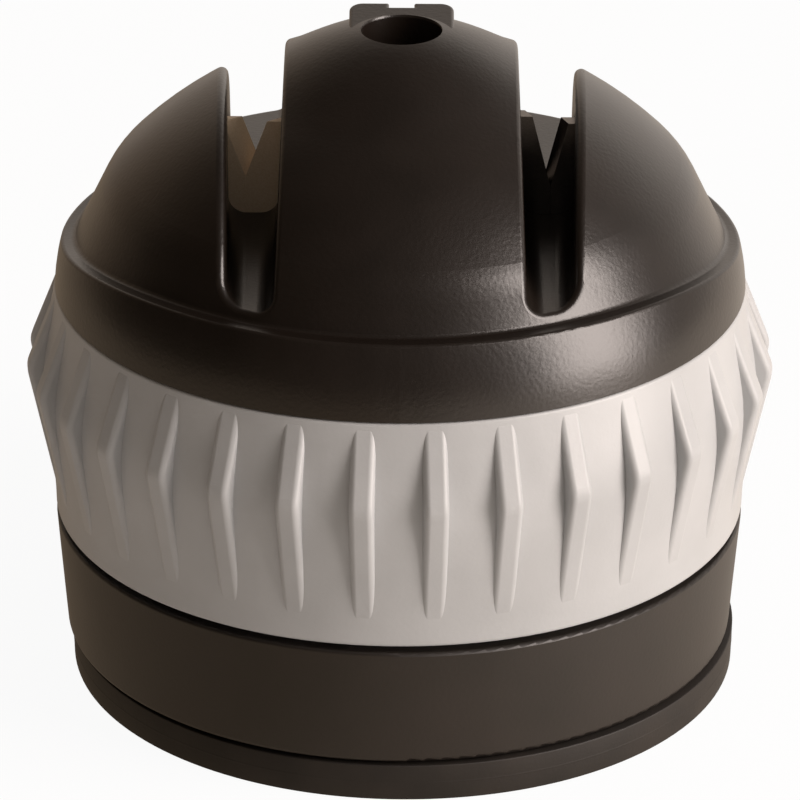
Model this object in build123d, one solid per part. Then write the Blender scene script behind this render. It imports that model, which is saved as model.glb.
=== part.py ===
from build123d import *
import math
import os

# Twist-lock suction knife sharpener, in millimetres.
# The origin is the middle of the ring where the suction cup meets the table.
# +Z is up and the front of the sharpener faces -Y. Blades are drawn along Y.

UPRIGHT = (Align.CENTER, Align.CENTER, Align.MIN)
HANGING = (Align.CENTER, Align.CENTER, Align.MAX)

# Fits shared by all pieces
cut_overrun = 2.0
running_fit = 0.08
seat_fit = 0.05
moving_gap = 0.4

# Body: the seam under the head, which the other round pieces follow
body_radius = 33.0

# Suction cup
cup_taper = 0.1
cup_shift = 0.43
cup_band_height = 3.65
cup_lip_width = 2.8
cup_hollow_height = 2.2
cup_disc_thickness = 1.7
cup_collar_wall = 2.0
cup_collar_height = 3.6
cup_boss_radius = 11.0
cup_boss_roof = 2.2

# Base housing
foot_gap = 0.3
base_height = 11.95
base_flare = 0.25
base_taper = 0.95
base_wall = 2.4
base_deck = 2.5
base_bottom_round = 0.6
base_top_round = 0.3
post_radius = 3.3
post_cap = 8.0
post_angles = (90, 210, 330)
tower_radius = 6.5
tower_rim = 1.2

# Twist ring
washer_thickness = 0.6
washer_width = 2.6
ring_height = 22.7
ring_flare = 0.25
ring_bulge = 1.4
ring_bulge_height = 14.0
ring_wall = 2.3
ring_edge_round = 0.35
web_thickness = 2.5
shoulder_depth = 1.8
shoulder_thickness = 2.0
shoulder_width = 2.7
rib_count = 32
rib_width = 2.3
rib_stand = 1.5
rib_root = 1.0
rib_crest_round = 0.6
rib_knee_round = 2.5
rib_bottom = 2.2
rib_knee = 14.9
rib_top = 22.3

# Lifting cam: how far the ring turns, and how far that lifts the cup
lock_angle = 60
cup_lift = 3.0
rotor_wall = 3.9
rotor_flange = 2.4
rotor_flange_width = 4.0
ramp_land = 0.6
ramp_spare_angle = 26
ramp_steps = 14
ramp_rim = 0.5
rotor_screw_turn = 90

# Stem and followers
stem_radius = 4.0
stem_over_pin = 3.5
stud_radius = 2.5
pin_radius = 2.0
cap_radius = 3.5
cap_length = 2.6
cap_end = 0.8
cap_gap = 0.5
anchor_radius = 8.0
anchor_thickness = 1.5
nut_radius = 4.4
nut_height = 2.0

# Head
seam_gap = 0.1
head_wall = 2.4
collar_middle_inset = 0.55
collar_top_inset = 2.05
collar_middle_rise = 3.6
collar_rise = 7.6
collar_round = 0.35
crease_round = 0.5
ledge_side_rise = 3.95
ledge_quarter_rise = 6.55
ledge_front_rise = 6.95
ledge_back_rise = 3.2
ledge_quarter_share = 0.62
dome_rise = 23.2
dome_swell = 4.5
shoulder_angle = 47.6
shoulder_round = 9.0
dome_foot_inset = 1.2
dome_foot_rise = 2.46
crown_rise = 2.57
crown_neck_rise = 1.67
crown_neck_radius = 5.5
crown_waist_rise = -0.03
crown_waist_radius = 9.5
crown_radius = 16.2
rim_rise = 2.2
hole_radius = 3.75
hole_depth = 15.0
hole_lip = 0.3
hole_wall = 1.6
pad_radius = 4.95
pad_back = 6.6
pad_front_drop = 0.75
pad_back_rise = 0.1
pad_corner = 1.3
pad_round = 0.35
ear_notch = 2.4
notch_depth = 0.9

# Knife slots
slot_pitch = 27.98
slot_width = 4.73
slot_inner_draft = 2.2
slot_outer_draft = 0.5
slot_fall = 2.0
slot_floor_rise = 6.85
slot_splay = 1.1
slot_front_corner = 1.7
slot_back_corner = 0.6
slot_lip_round = 0.65
trough_wall = 2.2

# Sharpening plates
groove_depth = 1.5
plate_gap = 0.04
plate_cross_shift = 0.13
plate_top_rise = 16.2
ceramic_cross_rise = 13.0
ceramic_mouth = 2.35
ceramic_thickness = 1.3
ceramic_bevel = 1.75
ceramic_step = 0
carbide_cross_rise = 11.2
carbide_mouth = 2.5
carbide_thickness = 1.6
carbide_bevel = 0.7
carbide_step = 0.7

# Chassis and holders
chassis_thickness = 2.4
chassis_boss_radius = 3.2
holder_length = 11.0
holder_width = 11.0
holder_floor = 0.8
holder_corner = 0.8
holder_gap = 0.15
shell_post_radius = 3.2
shell_post_inset = 9.0
shell_post_angles = (270, 40, 140)

# Screws
assembly_screw_radius = 1.5
assembly_screw_length = 13.0
assembly_head_radius = 2.4
assembly_head_height = 2.2
small_screw_radius = 1.1
small_head_radius = 2.0
small_head_height = 1.5
rotor_screw_length = 4.4
shell_screw_length = 8.0
holder_screw_length = 5.2
screw_recess_radius = 0.9
screw_recess_depth = 0.8

# Radii that follow from the sizes above
base_top_radius = body_radius + base_flare
base_bottom_radius = base_top_radius - base_taper
cup_top_radius = base_bottom_radius
cup_bottom_radius = cup_top_radius - cup_taper
skirt_radius = base_bottom_radius - base_wall
ring_bottom_radius = body_radius + ring_flare
ring_middle_radius = body_radius + ring_bulge
ring_bore = body_radius - ring_wall
tower_bore = stem_radius + running_fit
rotor_bore = tower_radius + running_fit
rotor_radius = rotor_bore + rotor_wall
rotor_flange_radius = rotor_radius + rotor_flange_width
rotor_screw_circle = rotor_radius + rotor_flange_width / 2
web_bore = rotor_radius + seat_fit
post_circle = rotor_flange_radius + 2 * moving_gap + post_radius
collar_middle_radius = body_radius - collar_middle_inset
collar_top_radius = body_radius - collar_top_inset
dome_radius = body_radius + dome_swell
dome_foot_radius = body_radius - dome_foot_inset
chassis_radius = body_radius - head_wall - moving_gap
washer_bore = chassis_radius - washer_width
shell_post_circle = chassis_radius - shell_post_inset

# Heights that follow
base_bottom = cup_band_height + foot_gap
base_top = base_bottom + base_height
deck_bottom = base_top - base_deck
ring_bottom = base_top + washer_thickness + running_fit
ring_top = ring_bottom + ring_height
web_top = ring_bottom + web_thickness
shoulder_top = ring_top - shoulder_depth
chassis_bottom = shoulder_top + washer_thickness + running_fit
chassis_top = chassis_bottom + chassis_thickness
head_bottom = ring_top + seam_gap
dome_top = head_bottom + dome_rise
dome_center = dome_top - dome_radius
rim_top = dome_top + rim_rise
hole_bottom = rim_top - hole_depth
slot_floor = head_bottom + slot_floor_rise
holder_top = slot_floor - trough_wall - holder_gap
plate_top = head_bottom + plate_top_rise
flange_top = web_top + rotor_flange
nut_bottom = cup_hollow_height + cup_disc_thickness
anchor_bottom = nut_bottom + nut_height
anchor_top = anchor_bottom + anchor_thickness

# The followers ride on the ramps, with the same gap all along the lift
cap_inner = tower_radius + cap_gap
cap_outer = cap_inner + cap_length
ramp_pitch = cup_lift / lock_angle
ramp_slope = cup_lift / (math.radians(lock_angle) * cap_inner)
ramp_rest = flange_top + ramp_land + ramp_pitch * ramp_spare_angle
pin_height = ramp_rest + cap_radius * math.hypot(1, ramp_slope) + moving_gap
tower_top = pin_height + cup_lift + pin_radius + tower_rim
stem_top = pin_height + stem_over_pin
assembly_screw_tip = chassis_bottom - post_cap + assembly_screw_length + seat_fit
shell_screw_tip = chassis_bottom + shell_screw_length + seat_fit
holder_screw_tip = chassis_bottom + holder_screw_length + seat_fit


def turned(outline):
    """A body turned about the Z axis from a closed outline of radius and height."""
    return revolve(make_face(Plane.XZ * outline), axis=Axis.Z)


def rod(radius, low, high):
    """An upright cylinder on the Z axis between two heights."""
    return Pos(0, 0, low) * Cylinder(radius, high - low, align=UPRIGHT)


def tube(radius, bore, low, high):
    """An upright tube on the Z axis between two heights."""
    return rod(radius, low, high) - rod(bore, low, high)


def around(circle, angle):
    """The place on a circle about the Z axis, turned to face outwards."""
    return Rot(0, 0, angle) * Pos(circle, 0, 0)


def screw(radius, length, head_radius, head_height):
    """A pan-head screw, its head's seat at height zero and its point up."""
    head = Cylinder(head_radius, head_height, align=HANGING)
    head = chamfer(head.faces().sort_by(Axis.Z)[0].edges(), head_height / 4)
    shank = Cylinder(radius, length, align=UPRIGHT)
    shank = chamfer(shank.faces().sort_by(Axis.Z)[-1].edges(), radius / 2)
    recess = Cylinder(screw_recess_radius, screw_recess_depth, align=UPRIGHT)
    return head + shank - Pos(0, 0, -head_height) * recess


def base_housing():
    """The tapered housing, its deck, the stem's tower and the three posts."""
    outline = Polyline(
        (skirt_radius, base_bottom),
        (base_bottom_radius, base_bottom),
        (base_top_radius, base_top),
        (tower_radius, base_top),
        (tower_radius, deck_bottom),
        (skirt_radius, deck_bottom),
        close=True,
    )
    body = turned(outline)
    for radius, rounding in ((base_bottom_radius, base_bottom_round), (base_top_radius, base_top_round)):
        rims = body.edges().filter_by(GeomType.CIRCLE)
        body = fillet(rims.filter_by(lambda e: abs(e.radius - radius) < seat_fit), rounding)
    body += rod(tower_radius, deck_bottom, tower_top)
    for angle in post_angles:
        body += around(post_circle, angle) * rod(post_radius, deck_bottom, chassis_bottom)
    body -= rod(tower_bore, deck_bottom - cut_overrun, tower_top + cut_overrun)
    slot_low = pin_height - pin_radius - moving_gap
    slot_height = tower_top - slot_low + cut_overrun
    slot_length = 2 * (tower_radius + cut_overrun)
    pin_slot = Box(slot_length, 2 * (pin_radius + running_fit), slot_height, align=UPRIGHT)
    body -= Pos(0, 0, slot_low) * pin_slot
    head_seat = chassis_bottom - post_cap
    for angle in post_angles:
        place = around(post_circle, angle)
        body -= place * rod(assembly_head_radius + moving_gap, deck_bottom - cut_overrun, head_seat)
        body -= place * rod(assembly_screw_radius + seat_fit, head_seat, chassis_bottom + cut_overrun)
    return body


def suction_cup():
    """The rubber cup: foot band, lip, shallow hollow, collar and the boss that grips the anchor."""
    band = Pos(cup_shift, 0, 0) * Cone(cup_bottom_radius, cup_top_radius, cup_band_height, align=UPRIGHT)
    lip_radius = cup_bottom_radius - cup_shift - cup_lip_width
    dish_radius = (lip_radius ** 2 + cup_hollow_height ** 2) / (2 * cup_hollow_height)
    dish = Pos(0, 0, cup_hollow_height - dish_radius) * Sphere(dish_radius)
    dish = dish & rod(lip_radius + cut_overrun, -cut_overrun, cup_band_height)
    collar_radius = skirt_radius - seat_fit
    collar_bore = collar_radius - cup_collar_wall
    top_dish = rod(collar_bore, nut_bottom, cup_band_height + cup_collar_height + cut_overrun)
    boss_top_height = anchor_top + seat_fit + cup_boss_roof
    body = band + rod(collar_radius, 0, cup_band_height + cup_collar_height) - top_dish
    body += rod(cup_boss_radius, cup_hollow_height, boss_top_height)
    body -= dish
    body -= rod(anchor_radius + seat_fit, nut_bottom, anchor_top + seat_fit)
    body -= rod(stem_radius + seat_fit, anchor_top, boss_top_height + cut_overrun)
    return body


def glide_washer(low):
    """A thin ring that the twist ring slides on."""
    return tube(chassis_radius, washer_bore, low, low + washer_thickness)


def grip_rib():
    """One upright bar of the grip, with a knee at its widest, on the +X side."""
    root = body_radius - rib_root
    knee = ring_middle_radius + rib_stand
    side = Polyline(
        (root, ring_bottom + rib_bottom),
        (ring_bottom_radius - seat_fit, ring_bottom + rib_bottom),
        (knee, ring_bottom + rib_knee),
        (body_radius, ring_bottom + rib_top),
        (root, ring_bottom + rib_top),
        close=True,
    )
    face = make_face(Plane.XZ * side)
    face = fillet(face.vertices().sort_by(Axis.X)[-1], rib_knee_round)
    bar = extrude(face, rib_width / 2, dir=(0, 1, 0), both=True)
    halfway = (root + knee) / 2
    crest = bar.edges().filter_by(lambda e: abs(e.center().Y) > rib_width / 4 and e.center().X > halfway)
    return fillet(crest, rib_crest_round)


def twist_ring():
    """The ribbed grip, its web with windows for the posts, and its upper shoulder."""
    wall_side = Polyline(
        (body_radius, ring_top),
        (ring_bore, ring_top),
        (ring_bore, ring_bottom),
        (ring_bottom_radius, ring_bottom),
    )
    barrel = Spline(
        (ring_bottom_radius, ring_bottom),
        (ring_middle_radius, ring_bottom + ring_bulge_height),
        (body_radius, ring_top),
        tangents=((0, 1), (-ring_bulge, ring_height - ring_bulge_height)),
    )
    body = turned(wall_side + barrel)
    rims = body.edges().filter_by(GeomType.CIRCLE)
    body = fillet(rims.filter_by(lambda e: e.radius > ring_bore + ring_edge_round), ring_edge_round)
    rib = grip_rib()
    rib_pitch = 360 / rib_count
    ribs = [Rot(0, 0, rib_pitch * (number + 1 / 2)) * rib for number in range(rib_count)]
    body = body.fuse(*ribs)
    body += tube(ring_bore + seat_fit, web_bore, ring_bottom, web_top)
    shoulder_bottom = shoulder_top - shoulder_thickness
    body += tube(ring_bore + seat_fit, ring_bore - shoulder_width, shoulder_bottom, shoulder_top)
    half_post = math.degrees(math.asin((post_radius + moving_gap) / post_circle))
    window_inner = post_circle - post_radius - moving_gap
    window_outer = post_circle + post_radius + moving_gap
    window_turn = lock_angle + 2 * half_post
    side = Polyline(
        (window_inner, ring_bottom - cut_overrun),
        (window_outer, ring_bottom - cut_overrun),
        (window_outer, web_top + cut_overrun),
        (window_inner, web_top + cut_overrun),
        close=True,
    )
    window = revolve(make_face(Plane.XZ * side), axis=Axis.Z, revolution_arc=window_turn)
    for angle in post_angles:
        body -= Rot(0, 0, angle - half_post) * window
    for angle in post_angles:
        body -= rotor_screw_place(angle) * rod(
            small_screw_radius + seat_fit, ring_bottom - cut_overrun, web_top + cut_overrun
        )
    return body


def rotor_screw_place(angle):
    """Where a rotor screw stands, over the web's hub."""
    return around(rotor_screw_circle, angle + rotor_screw_turn)


def cam_rotor():
    """The hub on the tower: a flange on the web and two helical ramps."""
    body = tube(rotor_radius, rotor_bore, ring_bottom, flange_top)
    body += tube(rotor_flange_radius, rotor_bore, web_top, flange_top)
    low_end = -ramp_spare_angle
    high_end = lock_angle + ramp_spare_angle
    ramp_inner = rotor_bore
    ramp_outer = cap_outer + ramp_rim
    sections = []
    for step in range(ramp_steps + 1):
        angle = low_end + (high_end - low_end) * step / ramp_steps
        top = ramp_rest + ramp_pitch * angle
        side = Polyline(
            (ramp_inner, flange_top - ramp_land),
            (ramp_outer, flange_top - ramp_land),
            (ramp_outer, top),
            (ramp_inner, top),
            close=True,
        )
        sections.append(Rot(0, 0, angle) * make_face(Plane.XZ * side))
    ramp = loft(sections, ruled=True)
    body += ramp
    body += Rot(0, 0, 180) * ramp
    body -= rod(rotor_bore, ring_bottom - cut_overrun, tower_top + cut_overrun)
    for angle in post_angles:
        body -= rotor_screw_place(angle) * rod(
            small_screw_radius + seat_fit, web_top - cut_overrun, flange_top + cut_overrun
        )
    return body


def rotor_screws():
    """Three screws that clamp the rotor to the web, heads up."""
    one = screw(small_screw_radius, rotor_screw_length, small_head_radius, small_head_height)
    seated = Pos(0, 0, flange_top) * Rot(180, 0, 0) * one
    return Compound([rotor_screw_place(angle) * seated for angle in post_angles])


def lift_stem():
    """The rod that lifts the cup: cross hole for the pin, stud for the anchor."""
    body = rod(stem_radius, anchor_top, stem_top) + rod(stud_radius, nut_bottom, anchor_top)
    body = chamfer(body.faces().sort_by(Axis.Z)[-1].edges(), stem_radius / 8)
    hole = Cylinder(pin_radius + seat_fit, 2 * (stem_radius + cut_overrun))
    return body - Pos(0, 0, pin_height) * Rot(0, 90, 0) * hole


def cross_pin():
    """The steel pin across the stem."""
    half = cap_outer - cap_end - seat_fit
    pin = Pos(0, 0, pin_height) * Rot(0, 90, 0) * Cylinder(pin_radius, 2 * half)
    return chamfer(pin.edges().filter_by(GeomType.CIRCLE), pin_radius / 8)


def follower_caps():
    """Two low-friction caps on the pin's ends, which ride on the ramps."""
    cap = Cylinder(cap_radius, cap_length, align=UPRIGHT)
    cap = fillet(cap.faces().sort_by(Axis.Z)[-1].edges(), cap_end / 2)
    cap -= Pos(0, 0, -cut_overrun) * Cylinder(
        pin_radius + seat_fit, cap_length - cap_end + cut_overrun, align=UPRIGHT
    )
    placed = Pos(cap_inner, 0, pin_height) * Rot(0, 90, 0) * cap
    return Compound([placed, Rot(0, 0, 180) * placed])


def anchor_plate():
    """The steel disc moulded into the cup's boss."""
    return tube(anchor_radius, stud_radius + seat_fit, anchor_bottom, anchor_top)


def anchor_nut():
    """The nut that holds the anchor plate on the stem's stud."""
    hexagon = extrude(RegularPolygon(nut_radius, 6), nut_height)
    return Pos(0, 0, nut_bottom) * hexagon - rod(stud_radius + seat_fit, nut_bottom, anchor_bottom)


def dome_outline(inset):
    """The dome's half outline: a crown, a wide arc, a rounded shoulder and a steep skirt."""
    reach = dome_radius - inset
    top = dome_center + reach
    level = math.sqrt(reach ** 2 - crown_radius ** 2)
    run_out = (crown_radius, dome_center + level)
    crown = Spline(
        (0, top + crown_rise),
        (crown_neck_radius, top + crown_neck_rise),
        (crown_waist_radius, top + crown_waist_rise),
        run_out,
        tangents=((1, 0), (level, -crown_radius)),
    )
    end_angle = math.radians(shoulder_angle)
    half_angle = (math.asin(crown_radius / reach) + end_angle) / 2
    half = (reach * math.sin(half_angle), dome_center + reach * math.cos(half_angle))
    shoulder = (reach * math.sin(end_angle), dome_center + reach * math.cos(end_angle))
    foot = (dome_foot_radius - inset, head_bottom + dome_foot_rise)
    rest = Polyline(shoulder, foot, (foot[0], head_bottom), (0, head_bottom), (0, top + crown_rise))
    face = make_face(Plane.XZ * (crown + ThreePointArc(run_out, half, shoulder) + rest))
    corner = face.vertices().filter_by(lambda v: abs(v.Z - shoulder[1]) < seat_fit)
    return fillet(corner, shoulder_round - inset)


def collar():
    """The proud band under the dome, its top edge lower at the sides than at the front."""
    top = head_bottom + collar_rise
    outline = ThreePointArc(
        (body_radius, head_bottom),
        (collar_middle_radius, head_bottom + collar_middle_rise),
        (collar_top_radius, top),
    ) + Polyline(
        (collar_top_radius, top), (0, top), (0, head_bottom), (body_radius, head_bottom)
    )
    band = Rot(0, 0, -90) * turned(outline)
    reach = body_radius + cut_overrun
    quarter = body_radius * ledge_quarter_share
    edge = Spline(
        (-reach, head_bottom + ledge_front_rise),
        (-quarter, head_bottom + ledge_quarter_rise),
        (0, head_bottom + ledge_side_rise),
        (quarter, head_bottom + ledge_back_rise),
        (reach, head_bottom + ledge_back_rise),
        tangents=((1, 0), (1, 0)),
    )
    below = Polyline(
        (reach, head_bottom + ledge_back_rise),
        (reach, head_bottom),
        (-reach, head_bottom),
        (-reach, head_bottom + ledge_front_rise),
    )
    under_edge = extrude(make_face(Plane.YZ * (edge + below)), reach, both=True)
    band = band & under_edge
    rim = band.edges().filter_by(lambda e: abs(e.center().X) > collar_top_radius)
    return fillet(rim, collar_round)


def slot_cut(side):
    """The space that a knife slides through.

    Its walls lean out, its outer wall turns outward to the back, and its floor falls to the back. The
    floor is rounder before the plates than behind them.
    """
    height = rim_top + cut_overrun - slot_floor
    reach = body_radius + cut_overrun

    def beside_wall(away, draft, splay):
        """The space on the slot's side of one wall, which reaches past the other wall."""
        wall = away * slot_width / 2
        past = -away * slot_pitch / 2
        lean = away * height * math.tan(math.radians(draft))
        face = make_face(Polyline((past, 0), (wall, 0), (wall + lean, height), (past, height), close=True))
        foot = face.vertices().sort_by_distance((wall, 0, 0))[0]
        front = extrude(Plane.XZ * fillet(foot, slot_front_corner), reach)
        back = extrude(Plane.XZ * fillet(foot, slot_back_corner), -reach)
        return Rot(0, 0, -away * splay) * (front + back)

    space = beside_wall(-side, slot_inner_draft, 0) & beside_wall(side, slot_outer_draft, slot_splay)
    return Pos(side * slot_pitch / 2, 0, slot_floor) * Rot(-slot_fall, 0, 0) * space


def hole_cut():
    """The space in the upright hole, with its rounded mouth."""
    mouth = hole_radius + hole_lip
    lip_start = (hole_radius, rim_top - hole_lip)
    lip_half = (mouth - hole_lip * math.sqrt(1 / 2), rim_top - hole_lip + hole_lip * math.sqrt(1 / 2))
    high = rim_top + cut_overrun
    rest = Polyline((mouth, rim_top), (mouth, high), (0, high), (0, hole_bottom), (hole_radius, hole_bottom), lip_start)
    return turned(ThreePointArc(lip_start, lip_half, (mouth, rim_top)) + rest)


def hole_pad():
    """The seat around the hole: it leaves the crown at the back, where a notch parts it into two ears."""
    plan = Pos(0, pad_back / 2, 0) * Rectangle(2 * pad_radius, pad_back)
    plan = fillet(plan.vertices().sort_by(Axis.Y)[-2:], pad_corner) + Circle(pad_radius)
    plan -= Pos(0, pad_back, 0) * Rectangle(ear_notch, 2 * notch_depth)
    side = Polyline(
        (-pad_radius, dome_top),
        (-pad_radius, rim_top - pad_front_drop),
        (pad_back, rim_top + pad_back_rise),
        (pad_back, dome_top),
        close=True,
    )
    wedge = extrude(make_face(Plane.YZ * side), pad_radius, both=True)
    pad = Pos(0, 0, dome_top) * extrude(plan, crown_rise) & wedge
    top = pad.faces().sort_by(Axis.Z)[-1]
    return fillet(top.edges(), pad_round)


def plate_outline(plates, arm, back):
    """One end of a plate, on the XZ plane; arm -1 is the left plate.

    The plates' edges cross as a V. Each edge is set back at one end of the plate, the front or the back,
    so both edges are bevelled and the plates meet on a slanting face below the crossing.
    """
    cross = head_bottom + plates["cross_rise"]
    bottom = chassis_top + holder_floor
    top = plate_top + (plates["step"] if arm < 0 else 0)
    lean = plates["mouth"] / 2 / (plate_top - cross)
    meet = cross - plates["bevel"] / 2 / lean
    middle = plates["side"] * slot_pitch / 2
    crossing = middle - plates["side"] * plate_cross_shift
    set_back = 0 if (arm == plates["front_arm"]) != back else plates["bevel"]

    def edge(height):
        return crossing + arm * (lean * (height - cross) + set_back + plate_gap / 2)

    wall = middle + arm * (slot_width / 2 + groove_depth - seat_fit)
    outline = Polyline(
        (edge(top), top), (wall, top), (wall, bottom), (edge(meet), bottom), (edge(meet), meet), close=True
    )
    return make_face(Plane.XZ * outline)


def sharpening_plate(plates, arm):
    """One plate of a pair, between its front and back outlines."""
    half = plates["thickness"] / 2
    front = Pos(0, -half, 0) * plate_outline(plates, arm, False)
    back = Pos(0, half, 0) * plate_outline(plates, arm, True)
    return loft([front, back], ruled=True)


def plate_holder(plates):
    """The block on the chassis that clamps a pair of plates."""
    height = holder_top - chassis_top
    middle = plates["side"] * slot_pitch / 2
    body = Pos(middle, 0, chassis_top) * Box(holder_width, holder_length, height, align=UPRIGHT)
    body = fillet(body.edges().filter_by(Axis.Z), holder_corner)
    pocket = Box(slot_width + 2 * groove_depth, plates["thickness"] + 2 * seat_fit, height, align=UPRIGHT)
    body -= Pos(middle, 0, chassis_top + holder_floor) * pocket
    hole = rod(small_screw_radius + seat_fit, chassis_top - cut_overrun, holder_screw_tip)
    for x, y in holder_screw_places(plates):
        body -= Pos(x, y, 0) * hole
    return body


def holder_screw_places(plates):
    """The two screws of a holder, one at each end."""
    reach = holder_length / 2 - small_head_radius
    return [(plates["side"] * slot_pitch / 2, end * reach) for end in (-1, 1)]


def head_cover():
    """The cover's outside as a solid: dome, collar, slots with rounded lips, and the hole."""
    dome = Rot(0, 0, 90) * revolve(dome_outline(0), axis=Axis.Z)
    band = collar()
    body = dome.fuse(band)
    body = body.fillet(crease_round, new_edges(dome, band, combined=body))
    slots = [slot_cut(plates["side"]) for plates in plate_pairs]
    slotted = body.cut(*slots)
    lips = new_edges(body, *slots, combined=slotted)
    return slotted.fillet(slot_lip_round, lips) + hole_pad() - hole_cut()


def head_hollow():
    """The room inside the cover, around the slots' troughs, the hole's sleeve and the screw posts."""
    room = revolve(dome_outline(head_wall), axis=Axis.Z)
    trough = Box(slot_width + 2 * trough_wall, 2 * body_radius, dome_rise, align=UPRIGHT)
    for plates in plate_pairs:
        room -= Pos(plates["side"] * slot_pitch / 2, 0, slot_floor - trough_wall) * trough
    room -= rod(hole_radius + hole_wall, hole_bottom - hole_wall, rim_top)
    post = rod(shell_post_radius, chassis_top, dome_top)
    for angle in shell_post_angles:
        room -= around(shell_post_circle, angle) * post
    return room


def head_shell():
    """The domed cover: hollow, with grooves for the plates and holes for its screws."""
    body = head_cover() - head_hollow()
    body -= rod(chassis_radius + seat_fit, head_bottom - cut_overrun, chassis_top)
    for plates in plate_pairs:
        groove_top = plate_top + plates["step"] + seat_fit
        groove = Box(
            slot_width + 2 * groove_depth,
            plates["thickness"] + 2 * seat_fit,
            groove_top - slot_floor + trough_wall + cut_overrun,
            align=HANGING,
        )
        body -= Pos(plates["side"] * slot_pitch / 2, 0, groove_top) * groove
    hole = rod(small_screw_radius + seat_fit, head_bottom, shell_screw_tip)
    for angle in shell_post_angles:
        body -= around(shell_post_circle, angle) * hole
    return body


def head_chassis():
    """The plate that closes the head and takes all its screws."""
    body = rod(chassis_radius, chassis_bottom, chassis_top)
    for angle in post_angles:
        boss = rod(chassis_boss_radius, chassis_top, holder_top)
        hole = rod(assembly_screw_radius + seat_fit, chassis_bottom - cut_overrun, assembly_screw_tip)
        body += around(post_circle, angle) * boss
        body -= around(post_circle, angle) * hole
    hole = rod(small_screw_radius + seat_fit, chassis_bottom - cut_overrun, chassis_top + cut_overrun)
    for angle in shell_post_angles:
        body -= around(shell_post_circle, angle) * hole
    for plates in plate_pairs:
        for x, y in holder_screw_places(plates):
            body -= Pos(x, y, 0) * hole
    return body


def assembly_screws():
    """Three screws up through the posts into the chassis."""
    one = screw(assembly_screw_radius, assembly_screw_length, assembly_head_radius, assembly_head_height)
    seated = Pos(0, 0, chassis_bottom - post_cap) * one
    return Compound([around(post_circle, angle) * seated for angle in post_angles])


def chassis_screws():
    """Three screws that hold the shell on the chassis."""
    one = screw(small_screw_radius, shell_screw_length, small_head_radius, small_head_height)
    seated = Pos(0, 0, chassis_bottom) * one
    return Compound([around(shell_post_circle, angle) * seated for angle in shell_post_angles])


def holder_screws():
    """Four screws that hold the plate holders on the chassis."""
    one = screw(small_screw_radius, holder_screw_length, small_head_radius, small_head_height)
    places = [place for plates in plate_pairs for place in holder_screw_places(plates)]
    return Compound([Pos(x, y, chassis_bottom) * one for x, y in places])


ceramic = {
    "side": -1,
    "mouth": ceramic_mouth,
    "cross_rise": ceramic_cross_rise,
    "thickness": ceramic_thickness,
    "bevel": ceramic_bevel,
    "step": ceramic_step,
    "front_arm": 1,
}
carbide = {
    "side": 1,
    "mouth": carbide_mouth,
    "cross_rise": carbide_cross_rise,
    "thickness": carbide_thickness,
    "bevel": carbide_bevel,
    "step": carbide_step,
    "front_arm": -1,
}
plate_pairs = (ceramic, carbide)

parts = {
    "base_housing": base_housing(),
    "suction_cup": suction_cup(),
    "lower_glide_washer": glide_washer(base_top),
    "upper_glide_washer": glide_washer(shoulder_top + running_fit),
    "twist_ring": twist_ring(),
    "cam_rotor": cam_rotor(),
    "rotor_screws": rotor_screws(),
    "lift_stem": lift_stem(),
    "cross_pin": cross_pin(),
    "follower_caps": follower_caps(),
    "anchor_plate": anchor_plate(),
    "anchor_nut": anchor_nut(),
    "head_shell": head_shell(),
    "head_chassis": head_chassis(),
    "assembly_screws": assembly_screws(),
    "chassis_screws": chassis_screws(),
    "holder_screws": holder_screws(),
    "ceramic_holder": plate_holder(ceramic),
    "ceramic_plate_front": sharpening_plate(ceramic, 1),
    "ceramic_plate_rear": sharpening_plate(ceramic, -1),
    "carbide_holder": plate_holder(carbide),
    "carbide_blade_front": sharpening_plate(carbide, -1),
    "carbide_blade_rear": sharpening_plate(carbide, 1),
}

os.makedirs("parts", exist_ok=True)
for name, shape in parts.items():
    export_step(shape, f"parts/{name}.step")
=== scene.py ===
import math

import bpy
from mathutils import Euler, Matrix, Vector


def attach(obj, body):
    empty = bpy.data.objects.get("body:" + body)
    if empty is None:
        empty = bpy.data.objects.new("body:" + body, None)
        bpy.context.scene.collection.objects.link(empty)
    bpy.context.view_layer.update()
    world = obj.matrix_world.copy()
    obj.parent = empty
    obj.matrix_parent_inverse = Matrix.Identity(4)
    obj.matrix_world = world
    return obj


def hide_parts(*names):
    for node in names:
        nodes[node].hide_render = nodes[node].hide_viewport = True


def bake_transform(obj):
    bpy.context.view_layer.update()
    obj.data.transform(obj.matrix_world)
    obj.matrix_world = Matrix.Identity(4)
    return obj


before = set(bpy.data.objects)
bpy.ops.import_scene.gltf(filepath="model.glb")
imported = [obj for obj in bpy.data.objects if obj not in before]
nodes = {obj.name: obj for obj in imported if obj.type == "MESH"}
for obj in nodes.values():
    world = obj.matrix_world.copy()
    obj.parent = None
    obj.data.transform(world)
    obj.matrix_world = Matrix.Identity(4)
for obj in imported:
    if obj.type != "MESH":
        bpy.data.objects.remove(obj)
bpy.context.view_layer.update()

MM = 0.001

# Sizes of the rubber cup in millimetres, as in the part's source
cup_top_radius = 32.3
cup_bottom_radius = 32.2
cup_shift = 0.43
cup_band_height = 3.65
cup_lip_width = 2.8
cup_hollow_height = 2.2
cup_disc_thickness = 1.7
cup_collar_radius = 29.85
cup_collar_wall = 2.0
cup_collar_height = 3.6
cup_boss_radius = 11.0
cup_boss_top = 9.65
anchor_cavity_radius = 8.05
anchor_cavity_top = 7.45
stem_hole_radius = 4.05
cup_bore_radius = cup_collar_radius - cup_collar_wall
cup_lip_radius = cup_bottom_radius - cup_shift - cup_lip_width

# The cup's moulding line and rounded edges, in millimetres
cup_edge_round = 0.3
parting_line_stand = 0.06
parting_line_half = 0.12

# How finely the cup is meshed, with angles in degrees
turn_segments = 160
dish_rings = 10
round_segments = 3
round_above_angle = 40
smooth_below_angle = 35

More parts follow.
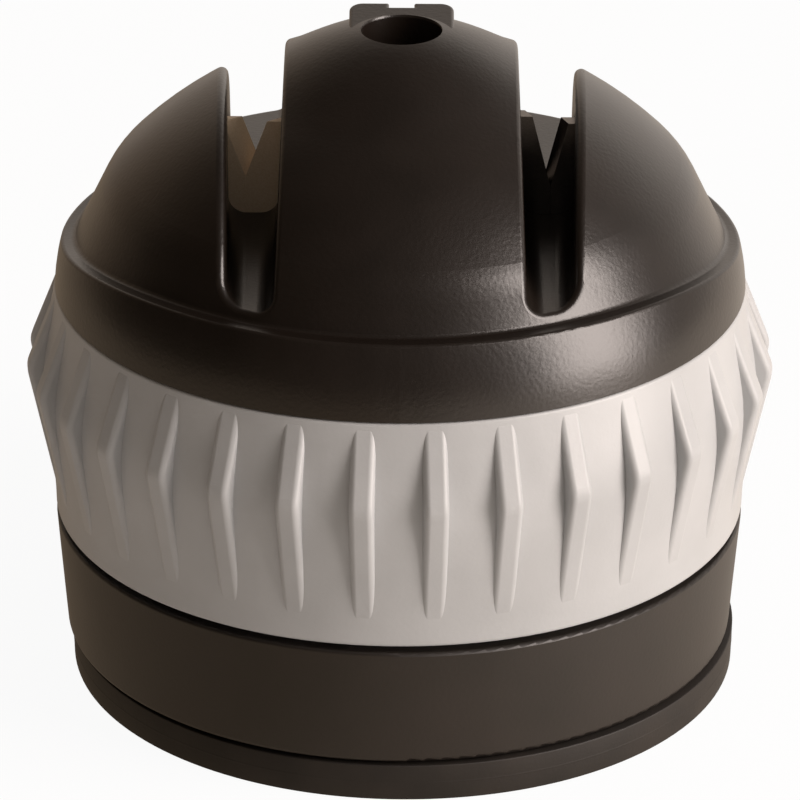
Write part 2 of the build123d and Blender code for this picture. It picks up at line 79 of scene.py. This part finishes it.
# Patterns of the finishes in millimetres, and how many times finer lines are across than along
cooling_patch_size = 9
bloom_patch_size = 6
rubber_skin_size = 0.35
rubber_skin_depth = 0.03
ceramic_grit_size = 0.15
wheel_line_length = 2
wheel_line_depth = 0.02
wheel_line_stretch = 12
carbide_line_stretch = 10
steel_line_stretch = 6

# Noise values that patterns run between, and the share that a metal's gloss varies by
noise_low = 0.3
noise_high = 0.7
bloom_low = 0.35
bloom_high = 0.75
metal_gloss_spread = 0.2

# Paper floor: its width and the two ends of its painted reflection's change from dim to lit, in metres
floor_width = 0.5
floor_painted_dim_at = -0.02
floor_painted_lit_at = 0.06
floor_glow_share = 0.94

# Room: each pair is where a change starts and is full, in parts of a unit direction
backdrop_behind = (0.2, 0.8)
backdrop_low = (0.85, 0.35)
room_lit_right = (-0.6, 0.4)
room_shine = 0.1
backdrop_shine = 1
room_fill = 0.45

# Window: place, size and aim in metres, power in watts
window_place = (0.84, -0.39, 0.36)
window_size = (0.55, 1.15)
window_aim = (0, 0, 0.04)
window_power = 18.5

# Camera, from the photograph's perspective, in millimetres, degrees and pixels
view_point = (0, 0, 25)
view_distance = 600
view_pitch = 25.131
view_roll = 0.3056
photo_width = 800
focal_pixels = 6207.8
view_pixel = (399.535, 412.316)
sensor_width = 36


def linear(code):
    """A screen colour's hex code, in the linear values that shaders take, by the sRGB curve."""
    channels = [int(code[place:place + 2], 16) / 255 for place in (1, 3, 5)]
    return [c / 12.92 if c <= 0.04045 else ((c + 0.055) / 1.055) ** 2.4 for c in channels] + [1]


def per_metre(size):
    """A texture scale that repeats once in so many millimetres."""
    return 1 / (size * MM)


def add_node(owner, kind, inputs, stops=(), **settings):
    """A node in a material or the world, with its settings and the stops of its ramp, if it has one.

    Each input is set to a value or linked to a socket. A stop is its place and its hex colour.
    """
    tree = owner.node_tree
    node = tree.nodes.new(kind)
    for name, value in settings.items():
        setattr(node, name, value)
    for name, value in inputs.items():
        if isinstance(value, bpy.types.NodeSocket):
            tree.links.new(value, node.inputs[name])
        else:
            node.inputs[name].default_value = value
    for number, (place, code) in enumerate(stops):
        node.color_ramp.elements[number].position = place
        node.color_ramp.elements[number].color = linear(code)
    return node


def new_material(name):
    """A material without nodes."""
    material = bpy.data.materials.new(name)
    material.use_nodes = True
    material.node_tree.nodes.clear()
    return material


def moulded_plastic(name, dark, light, ior, roughness, grain, grain_depth, sheen_spread):
    """Moulded plastic with a spark-eroded texture.

    The mould leaves rounded pits that break the highlights up, over a slow change of gloss where
    the plastic cooled unevenly. Real pits are about 0.1 mm, too fine to show, so they are drawn
    coarser. Grain and depth are in millimetres.
    """
    material = new_material(name)
    place = add_node(material, "ShaderNodeTexCoord", {}).outputs["Object"]
    cloud = add_node(
        material,
        "ShaderNodeTexNoise",
        {"Vector": place, "Scale": per_metre(cooling_patch_size), "Detail": 3},
    ).outputs["Fac"]
    pits = add_node(
        material,
        "ShaderNodeTexNoise",
        {"Vector": place, "Scale": per_metre(grain), "Detail": 2, "Roughness": 0.45},
    ).outputs["Fac"]
    colour = add_node(
        material,
        "ShaderNodeValToRGB",
        {"Fac": cloud},
        stops=((noise_low, dark), (noise_high, light)),
    )
    gloss = add_node(
        material,
        "ShaderNodeMapRange",
        {"Value": cloud, "To Min": roughness - sheen_spread, "To Max": roughness + sheen_spread},
    )
    bump = add_node(
        material,
        "ShaderNodeBump",
        {"Height": pits, "Strength": 0.6, "Distance": grain_depth * MM},
    )
    shader = add_node(
        material,
        "ShaderNodeBsdfPrincipled",
        {
            "Base Color": colour.outputs["Color"],
            "Roughness": gloss.outputs["Result"],
            "IOR": ior,
            "Normal": bump.outputs["Normal"],
        },
    )
    add_node(material, "ShaderNodeOutputMaterial", {"Surface": shader.outputs["BSDF"]})
    return material


def moulded_rubber():
    """Black moulded rubber: matt, with a dusty bloom in soft patches and a leathery skin.

    The skin is drawn coarser than the real one, which is too fine to show.
    """
    material = new_material("moulded_rubber")
    place = add_node(material, "ShaderNodeTexCoord", {}).outputs["Object"]
    bloom = add_node(
        material,
        "ShaderNodeTexNoise",
        {"Vector": place, "Scale": per_metre(bloom_patch_size), "Detail": 4},
    ).outputs["Fac"]
    skin = add_node(
        material,
        "ShaderNodeTexNoise",
        {"Vector": place, "Scale": per_metre(rubber_skin_size), "Detail": 2},
    ).outputs["Fac"]
    colour = add_node(
        material,
        "ShaderNodeValToRGB",
        {"Fac": bloom},
        stops=((bloom_low, "#17130f"), (bloom_high, "#231d18")),
    )
    bump = add_node(
        material,
        "ShaderNodeBump",
        {"Height": skin, "Strength": 0.4, "Distance": rubber_skin_depth * MM},
    )
    shader = add_node(
        material,
        "ShaderNodeBsdfPrincipled",
        {
            "Base Color": colour.outputs["Color"],
            "Roughness": 0.62,
            "IOR": 1.52,
            "Normal": bump.outputs["Normal"],
        },
    )
    add_node(material, "ShaderNodeOutputMaterial", {"Surface": shader.outputs["BSDF"]})
    return material


def ground_ceramic():
    """Cream alumina, ground flat: chalky, with fine grit and faint wheel lines along the plate.

    The grit and the lines are drawn coarser than the real ones, which are too fine to show.
    """
    material = new_material("ground_alumina")
    place = add_node(material, "ShaderNodeTexCoord", {}).outputs["Object"]
    grit = add_node(
        material,
        "ShaderNodeTexNoise",
        {"Vector": place, "Scale": per_metre(ceramic_grit_size), "Detail": 3},
    ).outputs["Fac"]
    stretch = (1, 1, wheel_line_stretch)
    along = add_node(material, "ShaderNodeMapping", {"Vector": place, "Scale": stretch})
    wheel = add_node(
        material,
        "ShaderNodeTexNoise",
        {"Vector": along.outputs["Vector"], "Scale": per_metre(wheel_line_length), "Detail": 2},
    ).outputs["Fac"]
    colour = add_node(
        material,
        "ShaderNodeValToRGB",
        {"Fac": grit},
        stops=((noise_low, "#ead0ae"), (noise_high, "#f8e2c6")),
    )
    bump = add_node(
        material,
        "ShaderNodeBump",
        {"Height": wheel, "Strength": 0.5, "Distance": wheel_line_depth * MM},
    )
    shader = add_node(
        material,
        "ShaderNodeBsdfPrincipled",
        {
            "Base Color": colour.outputs["Color"],
            "Roughness": 0.55,
            "IOR": 1.76,
            "Normal": bump.outputs["Normal"],
        },
    )
    add_node(material, "ShaderNodeOutputMaterial", {"Surface": shader.outputs["BSDF"]})
    return material


def worked_metal(name, dark, light, roughness, line_size, line_depth, stretch):
    """Bare metal with the lines that its grinding or turning left, or the spangle of its plating.

    The lines are brighter and smoother in places, and are drawn coarser than the real ones, which
    are too fine to show. Size and depth are in millimetres.
    """
    material = new_material(name)
    place = add_node(material, "ShaderNodeTexCoord", {}).outputs["Object"]
    along = add_node(material, "ShaderNodeMapping", {"Vector": place, "Scale": stretch})
    lines = add_node(
        material,
        "ShaderNodeTexNoise",
        {"Vector": along.outputs["Vector"], "Scale": per_metre(line_size), "Detail": 3},
    ).outputs["Fac"]
    colour = add_node(
        material,
        "ShaderNodeValToRGB",
        {"Fac": lines},
        stops=((noise_low, dark), (noise_high, light)),
    )
    gloss = add_node(
        material,
        "ShaderNodeMapRange",
        {
            "Value": lines,
            "To Min": roughness * (1 - metal_gloss_spread),
            "To Max": roughness * (1 + metal_gloss_spread),
        },
    )
    bump = add_node(
        material, "ShaderNodeBump", {"Height": lines, "Strength": 0.5, "Distance": line_depth * MM}
    )
    shader = add_node(
        material,
        "ShaderNodeBsdfPrincipled",
        {
            "Base Color": colour.outputs["Color"],
            "Metallic": 1,
            "Roughness": gloss.outputs["Result"],
            "Normal": bump.outputs["Normal"],
        },
    )
    add_node(material, "ShaderNodeOutputMaterial", {"Surface": shader.outputs["BSDF"]})
    return material


def turned_piece(name, rings, closed):
    """A turned piece: one circle of the first ring, pulled from ring to ring.

    Each ring is its radius, its height and how far its centre stands to the right. A closed piece
    joins its last ring to its first, and any other piece has both rings filled.
    """
    bpy.ops.object.select_all(action="DESELECT")
    radius, height, aside = rings[0]
    bpy.ops.mesh.primitive_circle_add(
        vertices=turn_segments,
        radius=radius * MM,
        fill_type="NOTHING",
        location=(aside * MM, 0, height * MM),
    )
    piece = bpy.context.object
    piece.name = name
    bpy.ops.object.transform_apply(location=True, rotation=False, scale=False)
    bpy.ops.object.mode_set(mode="EDIT")
    bpy.ops.mesh.select_all(action="SELECT")
    for next_radius, next_height, next_aside in rings[1:]:
        step = ((next_aside - aside) * MM, 0, (next_height - height) * MM)
        bpy.ops.mesh.extrude_region_move(TRANSFORM_OT_translate={"value": step})
        share = next_radius / radius
        centre = (next_aside * MM, 0, next_height * MM)
        bpy.ops.transform.resize(value=(share, share, 1), center_override=centre)
        radius, height, aside = next_radius, next_height, next_aside
    bpy.ops.mesh.select_all(action="DESELECT")
    bpy.ops.mesh.select_mode(type="EDGE")
    bpy.ops.mesh.select_non_manifold()
    if closed:
        bpy.ops.mesh.bridge_edge_loops()
    else:
        bpy.ops.mesh.edge_face_add()
    bpy.ops.mesh.select_mode(type="VERT")
    bpy.ops.mesh.select_all(action="SELECT")
    bpy.ops.mesh.normals_make_consistent(inside=False)
    bpy.ops.object.mode_set(mode="OBJECT")
    return piece


def round_edges(piece, size):
    """Rounds the piece's sharp edges and shades the rest smooth."""
    bevel = piece.modifiers.new("edges", "BEVEL")
    bevel.width = size * MM
    bevel.segments = round_segments
    bevel.limit_method = "ANGLE"
    bevel.angle_limit = math.radians(round_above_angle)
    bpy.context.view_layer.objects.active = piece
    bpy.ops.object.modifier_apply(modifier=bevel.name)
    bpy.ops.object.shade_smooth_by_angle(angle=math.radians(smooth_below_angle))


def rubber_foot():
    """The cup's foot band, with its lip, its moulding line and the collar inside the base."""
    middle = cup_band_height / 2
    middle_radius = (cup_bottom_radius + cup_top_radius) / 2
    collar_top = cup_band_height + cup_collar_height
    rings = [
        (cup_lip_radius, 0, 0),
        (cup_bottom_radius, 0, cup_shift),
        (middle_radius, middle - parting_line_half, cup_shift),
        (middle_radius + parting_line_stand, middle, cup_shift),
        (middle_radius, middle + parting_line_half, cup_shift),
        (cup_top_radius, cup_band_height, cup_shift),
        (cup_collar_radius, cup_band_height, 0),
        (cup_collar_radius, collar_top, 0),
        (cup_bore_radius, collar_top, 0),
        (cup_bore_radius, cup_disc_thickness, 0),
    ]
    piece = turned_piece("rubber_foot", rings, closed=True)
    round_edges(piece, cup_edge_round)
    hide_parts("suction_cup")
    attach(piece, "base")
    return piece


def cup_membrane():
    """The hollow skin that the stem lifts, with the boss that grips the anchor plate."""

    def hollow(radius):
        return cup_hollow_height * (1 - (radius / cup_lip_radius) ** 2)

    radii = [cup_bore_radius * step / dish_rings for step in range(1, dish_rings + 1)]
    under = [(r, hollow(r), 0) for r in radii]
    over = [(r, hollow(r) + cup_disc_thickness, 0) for r in reversed(radii) if r > cup_boss_radius]
    boss = [
        (cup_boss_radius, hollow(cup_boss_radius) + cup_disc_thickness, 0),
        (cup_boss_radius, cup_boss_top, 0),
        (stem_hole_radius, cup_boss_top, 0),
        (stem_hole_radius, anchor_cavity_top, 0),
        (anchor_cavity_radius, anchor_cavity_top, 0),
        (anchor_cavity_radius, cup_hollow_height + cup_disc_thickness, 0),
    ]
    piece = turned_piece("cup_membrane", under + over + boss, closed=False)
    round_edges(piece, cup_edge_round)
    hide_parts("suction_cup")
    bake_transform(piece)
    return piece


def camera_sees(owner, ray):
    """1 for what the camera sees, straight or through a clear piece, and 0 for any other ray."""
    inputs = {0: ray["Is Camera Ray"], 1: ray["Is Transmission Ray"]}
    return add_node(owner, "ShaderNodeMath", inputs, operation="MAXIMUM").outputs["Value"]


def white_paper():
    """Pale paper: white to the camera with a soft shadow. In reflections it shows a painted glow,
    brighter to the right, that stands in for the window's light.
    """
    material = new_material("white_paper")
    ray = add_node(material, "ShaderNodeLightPath", {}).outputs
    place = add_node(material, "ShaderNodeTexCoord", {}).outputs["Object"]
    across = add_node(material, "ShaderNodeSeparateXYZ", {"Vector": place}).outputs["X"]
    # Painted light: to glossy rays the floor glows dim on the left and lit on the right, as the window
    # would light it
    lit = add_node(
        material,
        "ShaderNodeMapRange",
        {"Value": across, "From Min": floor_painted_dim_at, "From Max": floor_painted_lit_at},
    )
    colour = add_node(
        material,
        "ShaderNodeValToRGB",
        {"Fac": lit.outputs["Result"]},
        stops=((0, "#a8947e"), (1, "#ffeedd")),
    )
    glow_share = add_node(
        material,
        "ShaderNodeMath",
        {0: camera_sees(material, ray), 1: floor_glow_share},
        operation="MULTIPLY",
    )
    plain = add_node(material, "ShaderNodeBsdfDiffuse", {"Color": linear("#f4f4f4")})
    # Painted reflection: the glow that glossy rays see, in place of real light on the floor
    painted_reflection = add_node(
        material, "ShaderNodeEmission", {"Color": colour.outputs["Color"], "Strength": 1}
    )
    glow = add_node(material, "ShaderNodeEmission", {"Color": linear("#ffffff"), "Strength": 1})
    around = add_node(
        material,
        "ShaderNodeMixShader",
        {0: ray["Is Glossy Ray"], 1: plain.outputs["BSDF"], 2: painted_reflection.outputs["Emission"]},
    )
    surface = add_node(
        material,
        "ShaderNodeMixShader",
        {0: glow_share.outputs["Value"], 1: around.outputs["Shader"], 2: glow.outputs["Emission"]},
    )
    add_node(material, "ShaderNodeOutputMaterial", {"Surface": surface.outputs["Shader"]})
    return material


def light_room():
    """A dim room with a white backdrop low behind, brighter to the right, and white to the camera."""
    world = bpy.context.scene.world or bpy.data.worlds.new("studio")
    bpy.context.scene.world = world
    world.use_nodes = True
    world.node_tree.nodes.clear()
    ray = add_node(world, "ShaderNodeLightPath", {}).outputs
    toward = add_node(world, "ShaderNodeTexCoord", {}).outputs["Generated"]
    toward = add_node(world, "ShaderNodeSeparateXYZ", {"Vector": toward}).outputs
    behind, low, right = [
        add_node(
            world, "ShaderNodeMapRange", {"Value": toward[axis], "From Min": start, "From Max": full}
        ).outputs["Result"]
        for axis, (start, full) in (("Y", backdrop_behind), ("Z", backdrop_low), ("X", room_lit_right))
    ]
    backdrop = add_node(world, "ShaderNodeMath", {0: behind, 1: low}, operation="MULTIPLY")
    shine = add_node(
        world,
        "ShaderNodeMapRange",
        {"Value": backdrop.outputs["Value"], "To Min": room_shine, "To Max": backdrop_shine},
    )
    strength = add_node(
        world,
        "ShaderNodeMapRange",
        {"Value": ray["Is Diffuse Ray"], "To Min": shine.outputs["Result"], "To Max": room_fill},
    )
    colour = add_node(
        world, "ShaderNodeValToRGB", {"Fac": right}, stops=((0, "#9f8974"), (1, "#fff4ea"))
    )
    room = add_node(
        world,
        "ShaderNodeBackground",
        {"Color": colour.outputs["Color"], "Strength": strength.outputs["Result"]},
    )
    white = add_node(world, "ShaderNodeBackground", {"Color": linear("#ffffff"), "Strength": 1})
    sky = add_node(
        world,
        "ShaderNodeMixShader",
        {0: camera_sees(world, ray), 1: room.outputs["Background"], 2: white.outputs["Background"]},
    )
    add_node(world, "ShaderNodeOutputWorld", {"Surface": sky.outputs["Shader"]})


def key_window():
    """The one soft light, a window at the front right."""
    light = bpy.data.lights.new("key_window", "AREA")
    light.shape = "RECTANGLE"
    light.size, light.size_y = window_size
    light.energy = window_power
    light.color = linear("#fff2eb")[:3]
    lamp = bpy.data.objects.new("key_window", light)
    bpy.context.scene.collection.objects.link(lamp)
    lamp.location = window_place
    aim = Vector(window_aim) - Vector(window_place)
    lamp.rotation_euler = aim.to_track_quat("-Z", "Y").to_euler()


def photo_view():
    """The camera of the photograph, its lens shifted as the picture was cropped."""
    lens = bpy.data.cameras.new("photo_view")
    lens.sensor_width = sensor_width
    lens.lens = sensor_width * focal_pixels / photo_width
    lens.shift_x = (photo_width / 2 - view_pixel[0]) / photo_width
    lens.shift_y = (view_pixel[1] - photo_width / 2) / photo_width
    camera = bpy.data.objects.new("photo_view", lens)
    bpy.context.scene.collection.objects.link(camera)
    pitch = math.radians(view_pitch)
    back = Vector((0, -math.cos(pitch), math.sin(pitch))) * view_distance
    camera.location = (Vector(view_point) + back) * MM
    tilt = Euler((math.pi / 2 - pitch, 0, 0)).to_quaternion()
    roll = Euler((0, 0, math.radians(view_roll))).to_quaternion()
    camera.rotation_euler = (tilt @ roll).to_euler()
    bpy.context.scene.camera = camera


# Finishes
black_shell = moulded_plastic(
    "black_textured_abs",
    dark="#150f0a",
    light="#1c1510",
    ior=1.68,
    roughness=0.32,
    grain=0.4,
    grain_depth=0.03,
    sheen_spread=0.04,
)
black_base = moulded_plastic(
    "black_satin_abs",
    dark="#17120d",
    light="#1f1813",
    ior=1.6,
    roughness=0.46,
    grain=0.4,
    grain_depth=0.02,
    sheen_spread=0.04,
)
grey_ring = moulded_plastic(
    "pale_grey_abs",
    dark="#a4a6a7",
    light="#acaeaf",
    ior=1.53,
    roughness=0.42,
    grain=0.45,
    grain_depth=0.02,
    sheen_spread=0.03,
)
inner_black = moulded_plastic(
    "black_glass_nylon",
    dark="#1b1b1b",
    light="#262626",
    ior=1.53,
    roughness=0.55,
    grain=0.3,
    grain_depth=0.03,
    sheen_spread=0.05,
)
acetal = moulded_plastic(
    "natural_acetal",
    dark="#d6d2c6",
    light="#e2ded4",
    ior=1.48,
    roughness=0.35,
    grain=0.8,
    grain_depth=0.01,
    sheen_spread=0.04,
)
rubber = moulded_rubber()
ceramic = ground_ceramic()
carbide = worked_metal(
    "ground_carbide",
    dark="#7d7773",
    light="#958f8a",
    roughness=0.3,
    line_size=0.3,
    line_depth=0.01,
    stretch=(1, 1, carbide_line_stretch),
)
turned_steel = worked_metal(
    "turned_steel",
    dark="#a9a9a7",
    light="#c4c4c2",
    roughness=0.28,
    line_size=0.3,
    line_depth=0.01,
    stretch=(1, 1, steel_line_stretch),
)
zinc_steel = worked_metal(
    "zinc_plated_steel",
    dark="#9b9da0",
    light="#b9bbbd",
    roughness=0.35,
    line_size=0.6,
    line_depth=0.01,
    stretch=(1, 1, 1),
)

node_finishes = {
    "base_housing": black_base,
    "lower_glide_washer": acetal,
    "upper_glide_washer": acetal,
    "twist_ring": grey_ring,
    "cam_rotor": acetal,
    "rotor_screws": zinc_steel,
    "lift_stem": turned_steel,
    "cross_pin": turned_steel,
    "follower_caps": acetal,
    "anchor_plate": turned_steel,
    "anchor_nut": zinc_steel,
    "head_shell": black_shell,
    "head_chassis": inner_black,
    "assembly_screws": zinc_steel,
    "chassis_screws": zinc_steel,
    "holder_screws": zinc_steel,
    "ceramic_holder": inner_black,
    "ceramic_plate_front": ceramic,
    "ceramic_plate_rear": ceramic,
    "carbide_holder": inner_black,
    "carbide_blade_front": carbide,
    "carbide_blade_rear": carbide,
    "suction_cup": rubber,
}
for name, material in node_finishes.items():
    nodes[name].data.materials.clear()
    nodes[name].data.materials.append(material)

for piece in (rubber_foot(), cup_membrane()):
    piece.data.materials.append(rubber)

# Floor, light and camera
bpy.ops.object.select_all(action="DESELECT")
bpy.ops.mesh.primitive_plane_add(size=floor_width, location=(0, 0, 0))
floor = bpy.context.object
floor.name = "floor"
floor.data.materials.append(white_paper())

light_room()
key_window()
photo_view()

bpy.context.scene.view_settings.view_transform = "Standard"
